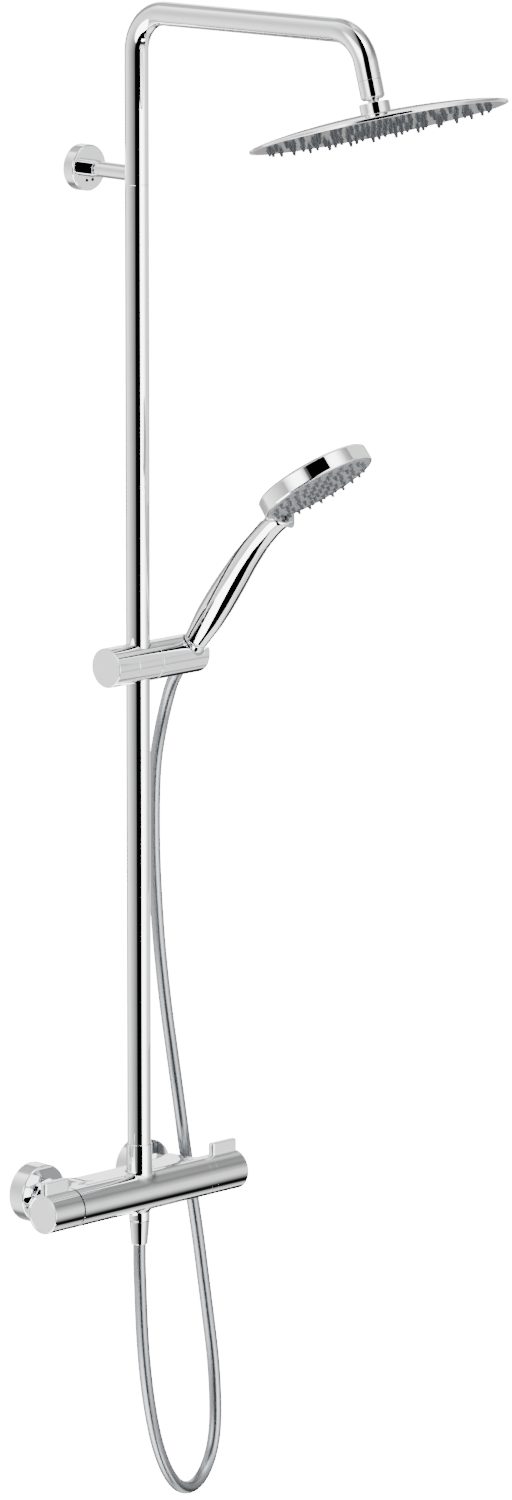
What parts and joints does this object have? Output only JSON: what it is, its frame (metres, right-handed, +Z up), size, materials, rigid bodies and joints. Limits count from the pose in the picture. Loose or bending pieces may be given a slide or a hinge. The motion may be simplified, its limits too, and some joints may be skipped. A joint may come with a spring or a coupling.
{
  "type": "rainfall shower column",
  "caption": "Wall-mounted shower column: thermostatic bar mixer, riser, bent arm with rain head, and a sliding hand shower on a hose.",
  "frame": {"origin": "on the wall plane, midway between the two water inlets", "axes": "+X along the wall to the right as seen from the room, +Y into the wall, +Z up"},
  "size_m": [0.2895, 0.549, 1.5433],
  "materials": {
    "chrome": "polished chrome plate on brass",
    "chrome_plastic": "polished chrome plate on ABS",
    "raw_brass": "turned, unplated",
    "steel": "stainless, turned",
    "black_rubber": "moulded seal rubber",
    "nozzle_rubber": "moulded grey silicone",
    "dark_plastic": "moulded black acetal",
    "grey_plastic": "moulded grey acetal",
    "white_plastic": "moulded white acetal",
    "face_plastic": "satin grey moulded ABS",
    "face_metal": "satin chrome plate",
    "hose_metal": "smooth metallic PVC hose"
  },
  "bodies": {
    "column": {"left_wall_union": "raw_brass", "right_wall_union": "raw_brass", "left_escutcheon": "chrome", "right_escutcheon": "chrome", "left_union_nut": "chrome", "right_union_nut": "chrome", "inlet_washers": "black_rubber", "valve_body": "chrome", "thermostatic_cartridge": "raw_brass", "diverter_cartridge": "raw_brass", "cartridge_seals": "black_rubber", "gap_ring": "dark_plastic", "riser_collar": "chrome", "riser_seal": "black_rubber", "riser_tube": "chrome", "joint_sleeve": "raw_brass", "shower_arm": "chrome", "bracket_plate": "steel", "bracket_flange": "chrome", "bracket_grub_screws": "dark_plastic", "bracket_ferrule": "chrome", "bracket_tube": "chrome", "ball_socket": "chrome", "ball_seat": "black_rubber", "outlet_nipple": "chrome", "lower_hose_nut": "chrome", "hose_tube": "hose_metal"},
    "temperature_dial": {"temperature_knob": "chrome", "temperature_tab": "chrome", "temperature_screw": "steel"},
    "flow_dial": {"flow_knob": "chrome", "flow_tab": "chrome", "flow_screw": "steel"},
    "ball": {"swivel_ball": "steel"},
    "rain_head": {"rain_connector": "chrome", "rain_filter": "dark_plastic", "rain_cover": "chrome", "rain_seal": "black_rubber", "rain_face": "face_metal", "rain_nozzles": "nozzle_rubber"},
    "carriage": {"slider_bush": "white_plastic"},
    "slider": {"slider_body": "chrome_plastic"},
    "clamp": {"clamp_knob": "chrome_plastic", "clamp_screw": "steel"},
    "cradle": {"holder": "chrome_plastic", "holder_liner": "grey_plastic", "holder_washer": "white_plastic"},
    "hose_end": {"upper_hose_nut": "chrome", "hose_washer": "black_rubber"},
    "hand_shower": {"handle_shell": "chrome_plastic", "handle_pipe": "white_plastic", "handle_inlet": "raw_brass", "neck_ring": "chrome_plastic", "spray_shell": "chrome_plastic", "spray_seal": "black_rubber"},
    "spray_selector": {"spray_face": "face_plastic", "selector_tab": "face_plastic", "spray_nozzles": "nozzle_rubber"}
  },
  "joints": [
    {"name": "temperature_turn", "type": "hinge", "parent": "column", "child": "temperature_dial", "pos_m": [-0.116, -0.08, 0], "axis": [1, 0, 0], "range_deg": [-90, 90]},
    {"name": "flow_turn", "type": "hinge", "parent": "column", "child": "flow_dial", "pos_m": [0.116, -0.08, 0], "axis": [1, 0, 0], "range_deg": [-90, 90]},
    {"name": "rain_tilt", "type": "hinge", "parent": "column", "child": "ball", "pos_m": [0, -0.39871, 1.14044], "axis": [1, 0, 0], "range_deg": [-12, 12]},
    {"name": "rain_turn", "type": "hinge", "parent": "ball", "child": "rain_head", "pos_m": [0, -0.40367, 1.12314], "axis": [0, 0.2756, 0.9613], "continuous": true},
    {"name": "slider_height", "type": "slide", "parent": "column", "child": "carriage", "axis": [0, 0, 1], "range_m": [-0.34, 0.38], "deforming": ["hose_tube"]},
    {"name": "slider_swivel", "type": "hinge", "parent": "carriage", "child": "slider", "pos_m": [0, -0.08, 0.541], "axis": [0, 0, 1], "range_deg": [-35, 30], "deforming": ["hose_tube"]},
    {"name": "clamp_turn", "type": "hinge", "parent": "slider", "child": "clamp", "pos_m": [-0.03, -0.08, 0.541], "axis": [1, 0, 0], "range_deg": [0, 90]},
    {"name": "cradle_tilt", "type": "hinge", "parent": "slider", "child": "cradle", "pos_m": [0.05, -0.08, 0.541], "axis": [1, 0, 0], "range_deg": [-24, 30], "deforming": ["hose_tube"]},
    {"name": "hand_lift", "type": "slide", "parent": "cradle", "child": "hose_end", "axis": [0, -0.6004, 0.7997], "range_m": [0, 0.06], "deforming": ["hose_tube"]},
    {"name": "hand_spin", "type": "hinge", "parent": "hose_end", "child": "hand_shower", "pos_m": [0.067, -0.083, 0.541], "axis": [0, -0.6004, 0.7997], "range_deg": [-180, 180]},
    {"name": "spray_select", "type": "hinge", "parent": "hand_shower", "child": "spray_selector", "pos_m": [0.07021, -0.26214, 0.72875], "axis": [0.0996, -0.5751, -0.812], "range_deg": [-20, 40]}
  ]
}
